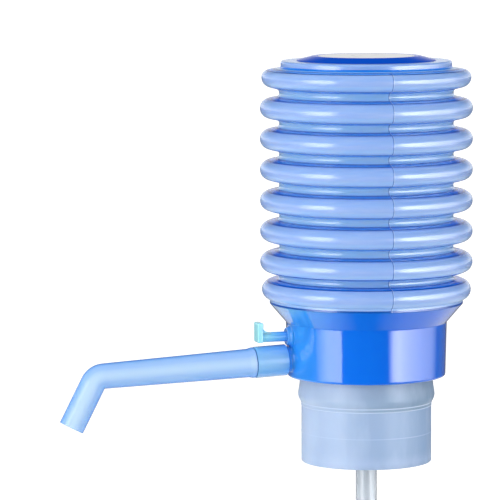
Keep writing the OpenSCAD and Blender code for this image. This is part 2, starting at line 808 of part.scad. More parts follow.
// Bent spout that turns in the socket
module spout() {
    color(spout_blue) on_duct(0) difference() {
        union() {
            translate([0, 0, spigot_start]) cylinder(r = spigot_r, h = flange_s + join - spigot_start);
            translate([0, 0, flange_s]) cylinder(r1 = flange_r, r2 = spout_root_r, h = flange_len);
            translate([0, 0, flange_s + flange_len])
                cylinder(r1 = spout_root_r, r2 = spout_bend_r, h = bend_s - flange_s - flange_len);
            translate([0, 0, bend_s]) sphere(r = spout_bend_r);
            translate([0, 0, bend_s]) rotate([0, -spout_bend, 0]) rotate_extrude() polygon([
                [0, 0], [spout_bend_r, 0], [spout_tip_r, spout_drop - mouth_straight],
                [spout_tip_r, spout_drop], [0, spout_drop]]);
        }
        translate([0, 0, spigot_start - over])
            cylinder(r = spigot_bore_r, h = flange_s - spigot_start + over);
        translate([0, 0, flange_s]) cylinder(r = spout_bore_r, h = bend_s - flange_s);
        translate([0, 0, bend_s]) sphere(r = spout_bore_r);
        translate([0, 0, bend_s]) rotate([0, -spout_bend, 0])
            cylinder(r = spout_bore_r, h = spout_drop + over);
        translate([0, 0, oring_s - oring_t / 2 - oring_play]) difference() {
            cylinder(r = spigot_r + over, h = oring_t + 2 * oring_play);
            translate([0, 0, -over]) cylinder(r = oring_r - oring_t / 2, h = oring_t + 2 * over);
        }
    }
}

// Seal ring in the spigot's groove
module spout_oring() {
    color(rubber_white) on_duct(oring_s) rotate_extrude() translate([oring_r, 0]) circle(d = oring_t);
}

neck_collar();
pump_body();
neck_gasket();
outlet_valve();
bellows();
bellows_ring();
ring_screws();
tube_seal();
suction_tube_upper();
tube_coupler_upper();
suction_tube_middle();
tube_coupler_lower();
suction_tube_lower();
tube_foot();
press_cap();
cap_disc();
intake_valve();
release_button();
release_seal();
release_clip();
release_spring();
spout();
spout_oring();
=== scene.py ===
# %% [markdown]
# # A bellows hand pump for a water bottle
#
# The construction of this pump is already modelled as exact solids. Here the pump gets its looks:
# soft milky bellows, a glossy blue base, a pale bent spout and a frosted collar. Every piece is
# made at its place in the pump's own frame: the origin lies at the middle of the bottle's rim,
# +Z is up and the spout points along -X.

# %% The frame
import math

import bpy
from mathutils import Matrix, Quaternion, Vector


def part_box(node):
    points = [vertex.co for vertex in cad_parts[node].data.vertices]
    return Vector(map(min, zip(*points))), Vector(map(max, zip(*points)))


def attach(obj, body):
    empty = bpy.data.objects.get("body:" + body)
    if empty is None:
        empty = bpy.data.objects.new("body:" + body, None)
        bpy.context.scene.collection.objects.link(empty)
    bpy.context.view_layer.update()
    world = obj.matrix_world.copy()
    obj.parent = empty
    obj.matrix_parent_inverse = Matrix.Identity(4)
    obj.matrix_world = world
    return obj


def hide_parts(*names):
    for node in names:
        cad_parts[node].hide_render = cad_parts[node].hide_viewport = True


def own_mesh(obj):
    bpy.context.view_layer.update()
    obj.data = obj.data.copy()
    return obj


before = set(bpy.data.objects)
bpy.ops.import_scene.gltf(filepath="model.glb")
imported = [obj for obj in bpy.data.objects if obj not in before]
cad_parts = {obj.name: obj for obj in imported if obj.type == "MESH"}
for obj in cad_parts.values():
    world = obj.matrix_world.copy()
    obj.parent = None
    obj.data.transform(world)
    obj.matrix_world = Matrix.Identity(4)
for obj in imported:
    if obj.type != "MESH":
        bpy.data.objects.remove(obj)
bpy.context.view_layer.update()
MM = 0.001

# %% [markdown]
# ## Sizes
#
# The main heights and widths are read from the solids, so that the pieces here follow them. The
# small sizes that give each moulding its character stand with the piece that they shape. All of
# them are in millimetres, and the helpers turn them into metres.


# %% Sizes read from the solids
def highest(node):
    """Highest corner of a node, in millimetres."""
    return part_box(node)[1] / MM


def lowest(node):
    """Lowest corner of a node, in millimetres."""
    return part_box(node)[0] / MM


parting_rise = 0.13
fold_r = highest("bellows").y - parting_rise
floor_z = lowest("bellows").z
crown_z = highest("bellows").z
cap_z = highest("press_cap").z
collar_low = lowest("neck_collar").z
collar_top = highest("neck_collar").z
button_x = lowest("release_button").x
tab_top = highest("release_button").z
tab_low = lowest("release_button").z
foot_z = lowest("tube_foot").z
print("folds reach", round(fold_r, 2), "mm, from", round(floor_z, 2), "to", round(crown_z, 2))

# %% [markdown]
# ## Turned pieces
#
# Most of a pump is round. Its moulds are cut on a lathe, and the same way works here: half of the
# section is drawn point by point from a single vertex, and Spin turns it once around the axis. A
# cylinder with many loops would also do, but an outline with true arcs gives the folds and lips
# their exact curve. A bevel then breaks the sharp edges, as a moulded edge catches a line of light.


# %% Helpers that select
def start_clean():
    """Leaves nothing selected, so that the next operator acts only on what it is given."""
    if bpy.context.object and bpy.context.object.mode != "OBJECT":
        bpy.ops.object.mode_set(mode="OBJECT")
    bpy.ops.object.select_all(action="DESELECT")


def activate(piece):
    """Makes one object the selected and active one."""
    start_clean()
    piece.select_set(True)
    bpy.context.view_layer.objects.active = piece


def new_piece(name):
    """Names the object that was just made."""
    piece = bpy.context.object
    piece.name = name
    piece.data.name = name
    return piece


def select_edges(piece, chosen):
    """Selects the edges whose two ends both pass the test, and opens edit mode."""
    activate(piece)
    bpy.ops.object.mode_set(mode="EDIT")
    bpy.ops.mesh.select_mode(type="EDGE")
    bpy.ops.mesh.select_all(action="DESELECT")
    bpy.ops.object.mode_set(mode="OBJECT")
    points = piece.data.vertices
    for edge in piece.data.edges:
        edge.select = all(chosen(points[i]) for i in edge.vertices)
    bpy.ops.object.mode_set(mode="EDIT")


# %% Helpers that shape
def arc(middle, radius, start, end, points=8):
    """Points of an arc in the (radius, height) plane, with its angles in degrees."""
    angles = [math.radians(start + (end - start) * i / points) for i in range(points + 1)]
    return [(middle[0] + radius * math.cos(a), middle[1] + radius * math.sin(a)) for a in angles]


def draw(name, points):
    """Draws a chain of edges through points in metres, starting from one vertex."""
    start_clean()
    bpy.ops.mesh.primitive_plane_add(size=MM)
    piece = new_piece(name)
    bpy.ops.object.mode_set(mode="EDIT")
    bpy.ops.mesh.select_mode(type="VERT")
    bpy.ops.mesh.select_all(action="SELECT")
    bpy.ops.mesh.merge(type="CENTER")
    bpy.ops.transform.translate(value=points[0])
    for here, there in zip(points, points[1:]):
        bpy.ops.mesh.extrude_region_move(TRANSFORM_OT_translate={"value": there - here})
    bpy.ops.mesh.select_all(action="SELECT")
    bpy.ops.mesh.remove_doubles(threshold=0.001 * MM)
    return piece


def lathe(name, outline, steps=128, closed=True):
    """Turns an outline of (radius, height) points, in millimetres, once around Z."""
    points = [Vector((r * MM, 0, z * MM)) for r, z in outline]
    piece = draw(name, points + points[:1] if closed else points)
    bpy.ops.mesh.spin(steps=steps, angle=2 * math.pi, center=(0, 0, 0), axis=(0, 0, 1))
    bpy.ops.mesh.select_all(action="SELECT")
    bpy.ops.mesh.remove_doubles(threshold=0.001 * MM)
    bpy.ops.mesh.normals_make_consistent(inside=False)
    bpy.ops.object.mode_set(mode="OBJECT")
    return piece


def slab(name, outline, half_width):
    """Extrudes a closed outline of (x, z) points, in millimetres, to both sides along Y."""
    points = [Vector((x * MM, -half_width * MM, z * MM)) for x, z in outline]
    piece = draw(name, points + points[:1])
    bpy.ops.mesh.edge_face_add()
    bpy.ops.mesh.extrude_region_move(TRANSFORM_OT_translate={"value": (0, 2 * half_width * MM, 0)})
    bpy.ops.mesh.select_all(action="SELECT")
    bpy.ops.mesh.normals_make_consistent(inside=False)
    bpy.ops.object.mode_set(mode="OBJECT")
    return piece


# %% Helpers that finish
def apply_modifier(piece, kind, **settings):
    """Adds a modifier with its settings and applies it."""
    activate(piece)
    modifier = piece.modifiers.new(kind.title(), kind)
    for setting, value in settings.items():
        setattr(modifier, setting, value)
    bpy.ops.object.modifier_apply(modifier=modifier.name)


def soften(piece, width, angle=35, segments=2):
    """Rounds the edges that are sharper than an angle, by a width in millimetres."""
    apply_modifier(piece, "BEVEL", width=width * MM, segments=segments, limit_method="ANGLE",
                   angle_limit=math.radians(angle))


def place(piece, location, turn_y=0):
    """Moves a piece, in millimetres, turns it about Y in degrees, and keeps both in its mesh."""
    activate(piece)
    piece.location = Vector(location) * MM
    piece.rotation_euler = (0, math.radians(turn_y), 0)
    bpy.ops.object.transform_apply(location=True, rotation=True, scale=True)


def join(name, parts):
    """Joins shapes that are one moulding."""
    activate(parts[0])
    for part in parts:
        part.select_set(True)
    bpy.ops.object.join()
    return new_piece(name)


def smooth(piece, angle=30, weighted=True):
    """Shades a piece smooth, apart from the edges sharper than the angle, and reports it.

    Weighted normals keep a rounded edge from bending the reflections of the wall beside it.
    """
    activate(piece)
    bpy.ops.object.shade_smooth_by_angle(angle=math.radians(angle))
    if weighted:
        apply_modifier(piece, "WEIGHTED_NORMAL", weight=100, keep_sharp=True)
    print(piece.name, "has", len(piece.data.polygons), "faces")


# %% [markdown]
# ## The camera
#
# The pump is seen through a long lens, from a little above and to the left of its front. The
# camera looks at the pump's axis first. It is then panned a little to the left, so that the pump
# stands in the right half of the picture and the spout has room.

# %% The camera
camera_turn = -18
camera_rise = 5.9
camera_distance = 1.676
aim = Vector((0, 0, 0.0556))
pan_left = 1.80


def direction(turn, rise):
    """Direction from the pump towards a place around it, with both angles in degrees."""
    a, e = math.radians(turn), math.radians(rise)
    return Vector((math.sin(a) * math.cos(e), -math.cos(a) * math.cos(e), math.sin(e)))


start_clean()
towards = direction(camera_turn, camera_rise)
bpy.ops.object.camera_add(location=aim + towards * camera_distance)
camera = bpy.context.object
camera.data.lens = 266.4
camera.data.clip_end = 100
facing = (-towards).to_track_quat("-Z", "Y")
pan = Quaternion(facing @ Vector((0, 1, 0)), math.radians(pan_left))
camera.rotation_mode = "QUATERNION"
camera.rotation_quaternion = pan @ facing
bpy.context.scene.camera = camera
print("camera at", tuple(round(v, 3) for v in camera.location))

# %% [markdown]
# ## The bellows
#
# The real bellows is blow-moulded from soft, milky plastic: eight full round folds with narrow
# grooves between them, and a plain neck ring on top that the cap is pressed into. When the hand
# presses the cap, only the folds flatten. So the bellows is made as three pieces: the folds, the
# neck ring that goes down with the cap, and the cuff that stays on the base.

# %% The outline of the folds
fold_count = 8
rim_z = 32
first_rise = 6
first_pitch = 12.6
fold_pitch = 13.9
end_fold_r = 47.3
groove_r = 39.3
fold_round = 4.4
groove_round = 1.9
lowest_start = -78
bellows_wall = 1.2
crown_r = 38.6
crown_fillet = 0.9
crown_flank = 80
# The top of a thin dark line of painted shade at the foot of the lowest fold, and half the height
# of its edge:
shade_line_z = 32.85
shade_line_blend = 0.1
top_round = 3.4
foot_inset = 4.3


def fold_z(i):
    """Height of the middle of fold i, counted from the bottom."""
    return rim_z + first_rise + (first_pitch + (i - 1) * fold_pitch if i else 0)


def fold_middle(i):
    """Middle of the arc of fold i."""
    reach = end_fold_r if i in (0, fold_count - 1) else fold_r
    return Vector((reach - fold_round, fold_z(i)))


def groove_middle(i):
    """Middle of the arc of the groove above fold i."""
    return Vector((groove_r + groove_round, (fold_z(i) + fold_z(i + 1)) / 2))


def flank(i, groove):
    """Angle at which fold i passes over into a groove beside it, in degrees."""
    gap = groove_middle(groove) - fold_middle(i)
    lean = math.acos((fold_round + groove_round) / gap.length)
    return math.degrees(math.atan2(abs(gap.y), gap.x) - lean)


top_fold = fold_middle(fold_count - 1) + Vector((fold_round - top_round, 0))


def fold_side(inset):
    """One side of the folds from bottom to top: inset 0 is the outside."""
    side = []
    for i in range(fold_count):
        start = -flank(i, i - 1) if i else lowest_start
        if i < fold_count - 1:
            side += arc(fold_middle(i), fold_round - inset, start, flank(i, i), 12)
            side += arc(groove_middle(i), groove_round + inset, 180 + flank(i, i),
                        180 - flank(i + 1, i), 6)
        else:
            side += arc(fold_middle(i), fold_round - inset, start, 0, 6)[:-1]
            side += arc(top_fold, top_round - inset, 0, crown_flank, 8)
    return side


fillet_z = top_fold.y + (
    (top_round + crown_fillet - (crown_r + crown_fillet - top_fold.x)
     * math.cos(math.radians(crown_flank))) / math.sin(math.radians(crown_flank)))
fillet = (crown_r + crown_fillet, fillet_z)
neck_foot = arc(fillet, crown_fillet, 180 + crown_flank, 180, 6)
print("folds at", [round(fold_z(i), 1) for i in range(fold_count)], "neck foot", neck_foot[0])

# %% [markdown]
# The outline has an inner side too, one wall thickness in, so that the folds are a real shell.
# Solidify would give a shell as well, but drawing both sides keeps the wall even in the grooves.

# %% The folds
folds_foot_r = fold_r - foot_inset
# Two points in the outline keep the edge of that painted shade line crisp.
outside = [(folds_foot_r, z) for z in (rim_z, shade_line_z - shade_line_blend, shade_line_z + shade_line_blend)]
outside += fold_side(0) + neck_foot[:1]
inside = [(folds_foot_r - bellows_wall, rim_z)] + fold_side(bellows_wall)
inside += [(neck_foot[0][0], neck_foot[0][1] - bellows_wall)]
folds = lathe("bellows_folds", outside + inside[::-1], 144)
print("folds outline has", len(outside) + len(inside), "points")

# %% [markdown]
# A blow mould opens in two halves, which leaves a fine raised line down the front and the back of
# the bellows. The outer edges there are selected by their place, bevelled into a narrow strip, and
# the strip's middle is raised. A raised line catches the light, and its colours are painted too: an
# attribute marks its dark middle with 1 and its side that gets a painted highlight with -1, for the
# material.

# %% The parting line
line_half = 0.38
# Share of the half width past which the strip's one side gets a painted highlight:
highlight_side = 0.25
line_reach = 0.75
parting_turn = -3.2


def on_parting_line(point):
    """True for points in the plane x = 0 whose normal looks away from the axis."""
    return abs(point.co.x) < 0.01 * MM and point.normal.y * point.co.y > 0


select_edges(folds, on_parting_line)
bpy.ops.mesh.bevel(offset=line_half * MM, segments=4, affect="EDGES")
select_edges(folds, on_parting_line)
bpy.ops.mesh.select_mode(type="VERT")
bpy.ops.transform.shrink_fatten(value=parting_rise * MM)
bpy.ops.object.mode_set(mode="OBJECT")
# The side marked -1 gets a painted highlight, and the middle marked 1 is painted dark.
parting = folds.data.attributes.new("parting_line", "FLOAT", "POINT")
for point in folds.data.vertices:
    across = point.co.x / (line_half * MM)
    if point.normal.y * point.co.y > 0 and abs(across) < line_reach:
        parting.data[point.index].value = -1 if across > highlight_side else 1
activate(folds)
folds.rotation_euler.z = math.radians(parting_turn)
bpy.ops.object.transform_apply(location=False, rotation=True, scale=False)
smooth(folds, 50, weighted=False)

# %% [markdown]
# The plastic is pale on the folds and deep blue on the flanks between them, with painted light laid
# on
# top: a painted highlight in each groove and on the lower half of each fold, painted shade on the
# flank under each fold, and thin dark lines of painted shade beside the flanks. The colour has to
# stay with the surface while the folds flatten, so each point stores its way from one fold to the
# next: 0 at a fold's middle, one half in the groove, and 1 at the next fold.


# %% The place between two folds
top_stretch = 0.75
# Below the folds, the wall is painted as the dark line of painted shade under the lowest fold, and
# above that line in the pale of the folds' painted highlight.
shade_below_folds = 0.688
highlight_above_shade_line = 0.74


def fold_phase(z):
    """Number of folds below a height, with the share of the way to the next fold."""
    if z < fold_z(0) - fold_round:
        return shade_below_folds if z < shade_line_z else highlight_above_shade_line
    i = sum(z >= fold_z(k) for k in range(fold_count)) - 1
    pitch = fold_z(i + 1) - fold_z(i) if i < fold_count - 1 else fold_pitch * top_stretch
    return 1 + i + (z - fold_z(i)) / pitch


def store_phase(piece, phase_at):
    """Stores the place between two folds at each vertex."""
    phase = piece.data.attributes.new("fold_phase", "FLOAT", "POINT")
    for point in piece.data.vertices:
        phase.data[point.index].value = phase_at(point.co.z / MM)


store_phase(folds, fold_phase)
print("phase from", fold_phase(rim_z), "to", round(fold_phase(neck_foot[0][1]), 2))

# %% [markdown]
# The neck ring is the stiff end of the bellows. Its foot rises from the highest fold in a small
# fillet, and its top is turned in to hold the cap. The cuff lies in the funnel of the base, and
# the folds start on it.

# %% The neck ring and the cuff
crown_round = 1
crown_hole_r = 30.8
cuff_wall = 1.6
cuff_lip_t = 1.4
cuff_inner_r = 29
cuff_low_r = 33.95
cuff_high_r = 41.45
cuff_flare = 1.2
cuff_gap = 0.05
# The next two heights place a thin dark line of painted shade at the neck ring's foot.
ring_shade_line = 0.35
ring_shade_line_middle = 0.2
ring_phase = 0.1
ring_foot_phase = 0.345

ring = neck_foot + [(crown_r, fillet_z + ring_shade_line)]
ring += arc((crown_r - crown_round, crown_z - crown_round), crown_round, 0, 90, 5)
ring += [(crown_hole_r, crown_z), (crown_hole_r, crown_z - bellows_wall),
         (crown_r - bellows_wall, crown_z - bellows_wall), (crown_r - bellows_wall, fillet_z),
         (crown_r - bellows_wall, neck_foot[0][1] - bellows_wall),
         (neck_foot[0][0], neck_foot[0][1] - bellows_wall)]
neck_ring = lathe("bellows_neck_ring", ring, 144)
smooth(neck_ring, 50)
# The ring is painted pale, and its change to the flank colour at the foot passes through the thin
# dark line of painted shade.
store_phase(neck_ring,
            lambda z: ring_phase if z > fillet_z + ring_shade_line_middle else ring_foot_phase)

cuff = lathe("bellows_cuff", [
    (cuff_inner_r, floor_z), (cuff_low_r, floor_z), (cuff_high_r, rim_z - cuff_gap),
    (cuff_high_r - cuff_wall, rim_z - cuff_gap),
    (cuff_low_r + cuff_flare - cuff_wall, floor_z + cuff_lip_t),
    (cuff_inner_r, floor_z + cuff_lip_t)])
soften(cuff, 0.3)
smooth(cuff)
# The whole cuff is painted in the dark colour of the shade line, as painted shade under the folds.
store_phase(cuff, lambda z: shade_below_folds)

# %% [markdown]
# ## The press cap
#
# The cap is a flat cone of dark blue plastic with a shallow recess for a plain white disc. Its
# plug reaches down into the neck ring, and a small well in the middle carries the air valve.

# %% The press cap
cap_r = 31.4
cap_top_r = 24.6
cap_edge = 0.3
recess_r = 22
disc_t = 0.8
plate_t = 1.8
plug_r = 30.5
plug_wall = 1.6
plug_h = 6
well_r = 9.5
well_wall = 1.5
well_depth = 5
seat_t = 1.4
stem_hole_r = 1.75

plate_z = cap_z - disc_t - plate_t
seat_z = plate_z - well_depth + plate_t
cap = lathe("press_cap_top", [
    (well_r, cap_z - disc_t), (recess_r, cap_z - disc_t), (recess_r, cap_z), (cap_top_r, cap_z),
    (cap_r, crown_z + cap_edge), (cap_r, crown_z), (plug_r, crown_z), (plug_r, crown_z - plug_h),
    (plug_r - plug_wall, crown_z - plug_h), (plug_r - plug_wall, plate_z),
    (well_r + well_wall, plate_z), (well_r + well_wall, seat_z), (stem_hole_r, seat_z),
    (stem_hole_r, seat_z + seat_t), (well_r, seat_z + seat_t)])
soften(cap, 0.25)
smooth(cap)

# %% [markdown]
# ## The base
#
# The blue base is one injection moulding: a skirt with a funnel on top that carries the bellows, a
# bell over the bottle's mouth, the water way with the spout's socket, and the guide of the
# release button. The shell and the bell are turned around the pump's axis. The socket and the
# guide are turned around their own axes and laid into place.

# %% The shell of the base
skirt_r = 36.5
skirt_foot_r = 35.9
skirt_z = -1.4
skirt_wall = 1.8
skirt_round = 1.2
funnel_r = 44
funnel_wall = 2.4
floor_low = floor_z - 2

shell = lathe("base_shell", arc((skirt_foot_r - skirt_round, skirt_z + skirt_round), skirt_round,
                                -90, 0, 6) + [
    (skirt_r, floor_z), (funnel_r, rim_z), (funnel_r - funnel_wall, rim_z),
    (skirt_r - funnel_wall, floor_z), (stem_hole_r, floor_z), (stem_hole_r, floor_low),
    (skirt_r - skirt_wall, floor_low), (skirt_foot_r - skirt_wall, skirt_z)], 160)
soften(shell, 0.3, 20)
smooth(shell)

# %% [markdown]
# Out of sight inside the skirt, the bell holds the gasket on the bottle's rim, and the clip ring
# below it turns in the collar. Four posts under the floor take the screws of the bellows' ring.

# %% The bell, the clip ring and the screw posts
bell_ir = 28.4
bell_or = 30
bell_z = 1.8
flange_ir = 22
flange_low = 2.2
flange_high = 4.2
clip_ir = 27.8
clip_or = 28.8
bead_or = 29.3
bead_z = -9.1
bead_t = 1
overlap = 0.3
clip_low = -11.3
post_r = 2.3
post_h = 6
screw_r = 31.4
screw_hole_r = 1.1

bell = lathe("base_bell", [
    (flange_ir, flange_low), (clip_ir, flange_low), (clip_ir, clip_low), (clip_or, clip_low),
    (bead_or, bead_z - bead_t), (bead_or, bead_z), (clip_or, bead_z), (clip_or, bell_z),
    (bell_or, bell_z), (bell_or, floor_low + overlap), (bell_ir, floor_low + overlap),
    (bell_ir, flange_high), (flange_ir, flange_high)])
soften(bell, 0.15)
post = [(screw_hole_r, floor_low - post_h), (post_r, floor_low - post_h),
        (post_r, floor_low + overlap), (screw_hole_r, floor_low + overlap)]
parts = [bell]
for i in range(4):
    angle = math.radians(45 + 90 * i)
    parts.append(lathe("screw_post", post, 32))
    soften(parts[-1], 0.2)
    place(parts[-1], (screw_r * math.cos(angle), screw_r * math.sin(angle), 0))
bell = join("base_bell", parts)
smooth(bell)

# %% [markdown]
# The water way slopes down a little towards the spout. Its socket is a thicker sleeve that stands
# off the skirt by a round hollow, and the spout's spigot turns inside it.

# %% The water way and the spout's socket
duct_z = 8.9
duct_tilt = 2.7
duct_r = 5.2
duct_bore_r = 3.9
duct_start = 4
sleeve_start = 34.6
socket_r = 7.1
socket_start = 38.4
socket_bore_r = 5.25
socket_bore_start = 39
lip_s = 53
hollow_r = 1.5
hollow_middle = (socket_r + 0.2, socket_start - hollow_r)

spout_socket = lathe("spout_socket", [
    (duct_r, duct_start), (duct_r, sleeve_start), (socket_r, sleeve_start)]
    + arc(hollow_middle, hollow_r, 262, 98, 12) + [
    (socket_r, lip_s), (socket_bore_r, lip_s), (socket_bore_r, socket_bore_start),
    (duct_bore_r, socket_bore_start), (duct_bore_r, duct_start)], 96)
soften(spout_socket, 0.3)
place(spout_socket, (0, 0, duct_z), -90 - duct_tilt)
smooth(spout_socket)

# %% [markdown]
# The nipple under the duct holds the suction tube, and two thin webs steady it inside the bell.

# %% The nipple and its webs
nipple_r = 6.95
nipple_low = -14
nipple_top = 14.9
nipple_cap_t = 1.5
tube_socket_r = 4.85
tube_stop_z = 0.8
tube_bore_r = 3.7
seal_room_r = 5.95
seal_room_h = 2.4
web_t = 1.6
web_h = 8
web_overlap = 1
web_sink = 0.4

nipple = lathe("tube_nipple", [
    (seal_room_r, nipple_low), (nipple_r, nipple_low), (nipple_r, nipple_top), (0, nipple_top),
    (0, nipple_top - nipple_cap_t), (tube_bore_r, nipple_top - nipple_cap_t),
    (tube_bore_r, tube_stop_z), (tube_socket_r, tube_stop_z),
    (tube_socket_r, nipple_low + seal_room_h), (seal_room_r, nipple_low + seal_room_h)], 64)
soften(nipple, 0.25)
parts = [nipple]
for angle in (-60, 60):
    start_clean()
    bpy.ops.mesh.primitive_cube_add(size=1)
    web = new_piece("web")
    web.scale = Vector((bell_ir - nipple_r + web_overlap, web_t, web_h)) * MM
    middle = direction(angle + 90, 0) * (bell_ir + nipple_r) / 2
    web.location = (middle.x * MM, middle.y * MM, (flange_high - web_sink + web_h / 2) * MM)
    web.rotation_euler.z = math.radians(angle)
    bpy.ops.object.transform_apply(location=True, rotation=True, scale=True)
    soften(web, 0.2)
    parts.append(web)
nipple = join("tube_nipple", parts)
smooth(nipple)

# %% [markdown]
# ## The release button
#
# A short guide stands out of the skirt above the socket, with a fillet where it leaves the skirt.
# The button's rod slides in it. The button ends in a thumb tab, and the tab runs down to the rod
# in one hollow curve.

# %% The button's guide
release_z = 17.7
guide_r = 3.9
guide_bore_r = 2.3
guide_start = 26.5
guide_end = 38.1
guide_flare = 1.7
flare_depth = 2.2
guide_floor = guide_start + 2
stem_bore_r = 1.6

guide = lathe("button_guide", [
    (guide_r, guide_start), (guide_r + guide_flare, guide_end - flare_depth)]
    + arc((guide_r + guide_flare, guide_end), guide_flare, 270, 180, 6)[:-1] + [
    (guide_r, guide_end), (guide_bore_r, guide_end), (guide_bore_r, guide_floor),
    (stem_bore_r, guide_floor), (stem_bore_r, guide_start)], 64)
soften(guide, 0.25)
place(guide, (0, 0, release_z), -90)
smooth(guide)

# %% The push button
rod_r = 2.25
rod_start = 34.5
stem_r = 1.1
stem_start = 23.3
tab_t = 2.7
tab_half = 3.5
blend_r = 4.1
blend_half = 1.5
blend_into_tab = 0.3
blend_into_rod = 0.15
blend_root = 0.6
rod_end = -button_x - 1

inner_x = button_x + tab_t
rod_top = release_z + rod_r
rod = lathe("rod", [(0, stem_start), (stem_r, stem_start), (stem_r, rod_start), (rod_r, rod_start),
                    (rod_r, rod_end), (0, rod_end)], 48)
soften(rod, 0.2)
place(rod, (0, 0, release_z), -90)
tab = slab("tab", [(button_x, tab_low), (inner_x, tab_low), (inner_x, tab_top),
                   (button_x, tab_top)], tab_half)
soften(tab, 0.7, segments=4)
curve = arc((inner_x + blend_r - blend_into_tab, rod_top - blend_into_rod + blend_r), blend_r,
            180, 270, 10)
blend = slab("blend", curve + [(inner_x + blend_r, release_z), (inner_x - blend_root, release_z),
                               (inner_x - blend_root, curve[0][1])], blend_half)
soften(blend, 0.35)
button = join("push_button", [rod, tab, blend])
smooth(button)

# %% [markdown]
# The spring behind the button closes up as the button goes in. Its wire is drawn as a curve, which
# is rounder than an extruded mesh, and then made a mesh.

# %% The button's spring
spring_turns = 5
spring_r = 1.7
wire_r = 0.2
spring_out = -lowest("release_spring").x - wire_r
spring_in = -highest("release_spring").x + wire_r
coil_steps = 20

start_clean()
bpy.ops.curve.primitive_bezier_curve_add()
coil = new_piece("button_spring")
coil.data.splines.clear()
wire = coil.data.splines.new("POLY")
wire.points.add(spring_turns * coil_steps)
for i, point in enumerate(wire.points):
    angle = 2 * math.pi * i / coil_steps
    reach = spring_in + (spring_out - spring_in) * i / (spring_turns * coil_steps)
    point.co = (-reach * MM, spring_r * MM * math.cos(angle),
                (release_z + spring_r * math.sin(angle)) * MM, 1)
coil.data.bevel_depth = wire_r * MM
coil.data.bevel_resolution = 2
coil.data.use_fill_caps = True
activate(coil)
bpy.ops.object.convert(target="MESH")
coil = new_piece("button_spring")
smooth(coil, weighted=False)

# %% [markdown]
# ## The spout
#
# The spout narrows from its flange to a sharp bend, with a crease as its inner corner and a well
# rounded outer one. So the straight run is turned on the lathe first, left open at its end, and
# Spin then carries that end around the inner corner itself. Bending a tube along a curve would need
# a wider bend. The drop is extruded from there, and the two rims are bridged at the mouth.

# %% The spout's straight run
spigot_r = 5.2
spigot_bore_r = spigot_r - 1.8
spigot_start = 39.3
flange_s = 53.3
flange_r = 6.9
flange_t = 1
root_r = 6.45
root_s = 56.5
root_blend = (0.1, 0.8)
tip_r = 5.7
mouth_bore_r = 4.3
bend_s = 126.3
bend_angle = 60
drop = 25.3

half_bend = math.radians(bend_angle / 2)
turn_s = bend_s - tip_r * math.tan(half_bend)
spout = lathe("bent_spout", [
    (mouth_bore_r, turn_s), (mouth_bore_r, root_s), (spigot_bore_r, flange_s),
    (spigot_bore_r, spigot_start), (spigot_r, spigot_start), (spigot_r, flange_s),
    (flange_r, flange_s), (flange_r, flange_s + flange_t),
    (root_r + root_blend[0], root_s - root_blend[1]), (root_r, root_s), (tip_r, turn_s)],
    96, closed=False)
print("the spout turns at", round(turn_s, 2), "mm")

# %% The spout's bend and drop
bend_steps = 12

select_edges(spout, lambda point: abs(point.co.z / MM - turn_s) < 0.01)
bpy.ops.mesh.spin(steps=bend_steps, angle=math.radians(bend_angle),
                  center=(-tip_r * MM, 0, turn_s * MM), axis=(0, 1, 0))
down = Vector((-math.sin(2 * half_bend), 0, math.cos(2 * half_bend)))
fall = (drop - tip_r * math.tan(half_bend)) * MM
bpy.ops.mesh.extrude_region_move(TRANSFORM_OT_translate={"value": down * fall})
bpy.ops.mesh.bridge_edge_loops()
bpy.ops.mesh.select_all(action="SELECT")
bpy.ops.mesh.remove_doubles(threshold=0.001 * MM)
bpy.ops.mesh.normals_make_consistent(inside=False)
bpy.ops.object.mode_set(mode="OBJECT")
soften(spout, 0.3)
place(spout, (0, 0, duct_z), -90 - duct_tilt)
smooth(spout)
lowest_point = min(spout.data.vertices, key=lambda point: point.co.z).co / MM
print("the mouth reaches", tuple(round(v, 1) for v in lowest_point))

# %% [markdown]
# ## The collar
#
# The frosted collar slides over the bottle's neck. It bulges where the base's clip ring snaps in.
# Its fine rings could be left to a bump texture, but real ones also show in the outline.

# %% The collar
collar_r = 29.5
collar_top_r = 30.3
collar_bore_r = 28
bulge_top = -3
bulge_foot = (29.85, -12.95)
bulge_rise = 1
bulge_lean = 1.9
below_bulge = [(29.9, -13.15), (29.7, -13.35), (29.78, -13.6), (29.55, -13.85)]
groove_wall_r = 29.6
groove_high = -8.9
groove_low = -11.7
lip_r = 29.1
grip_depth = 0.4
grip_half = 0.8
grip_heights = (-35.5, -29.5, -23.5)
foot_round = 0.4
foot_flare = (0.6, 1.2)
groove_slope = 1.6


def bulge(t):
    """Point of the bulge at a share of the way down: it swells slowly and falls back fast."""
    wall = collar_top_r + (bulge_foot[0] - collar_top_r) * t
    return (wall + bulge_rise * math.sin(math.pi * t**bulge_lean),
            bulge_top + (bulge_foot[1] - bulge_top) * t)


def raised_ring(z, height, half=0.25):
    """A fine raised ring on the collar's outside, from top to bottom."""
    return [(collar_r, z + half), (collar_r + height, z), (collar_r, z - half)]


def grip(z):
    """A grip ridge on the collar's inside, from bottom to top."""
    return [(collar_bore_r, z - grip_half), (collar_bore_r - grip_depth, z),
            (collar_bore_r, z + grip_half)]


